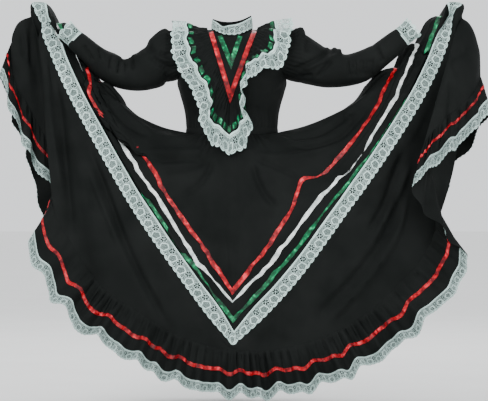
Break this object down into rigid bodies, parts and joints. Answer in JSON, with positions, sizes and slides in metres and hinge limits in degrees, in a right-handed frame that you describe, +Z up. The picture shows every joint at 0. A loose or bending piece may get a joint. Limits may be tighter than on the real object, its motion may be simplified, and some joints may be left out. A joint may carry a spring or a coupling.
{
  "type": "folklorico dress, worn and held open",
  "caption": "Black folk dance dress with stand collar, V ruffle, puffed sleeves, and a lace and ribbon trimmed skirt held out wide.",
  "frame": {"origin": "middle of the neck opening at shoulder height, where the wearer carries the dress", "axes": "+Z up, the front faces -Y, +X is to the right seen from the front"},
  "size_m": [1.6909, 0.7695, 1.3485],
  "materials": {
    "black_cloth": "plain weave with a slight sheen",
    "white_lace": "openwork lace",
    "red_ribbon": "satin",
    "green_ribbon": "satin",
    "white_ribbon": "satin"
  },
  "bodies": {
    "root": {"bodice_back_left": "black_cloth", "bodice_back_right": "black_cloth", "bodice_front": "black_cloth", "collar": "black_cloth", "collar_lace": "white_lace", "cuff_lace_left": "white_lace", "cuff_lace_right": "white_lace", "flounce_back": "black_cloth", "flounce_front": "black_cloth", "flounce_ribbon": "red_ribbon", "hem_lace": "white_lace", "ruffle_lace_left": "white_lace", "ruffle_lace_right": "white_lace", "ruffle_left": "black_cloth", "ruffle_ribbon_left": "green_ribbon", "ruffle_ribbon_right": "green_ribbon", "ruffle_right": "black_cloth", "skirt_back": "black_cloth", "skirt_front": "black_cloth", "skirt_lace": "white_lace", "skirt_ribbon_green": "green_ribbon", "skirt_ribbon_red": "red_ribbon", "skirt_ribbon_white": "white_ribbon", "sleeve_left": "black_cloth", "sleeve_right": "black_cloth", "waistband": "black_cloth", "yoke_ribbon_green": "green_ribbon", "yoke_ribbon_red": "red_ribbon"}
  },
  "joints": []
}
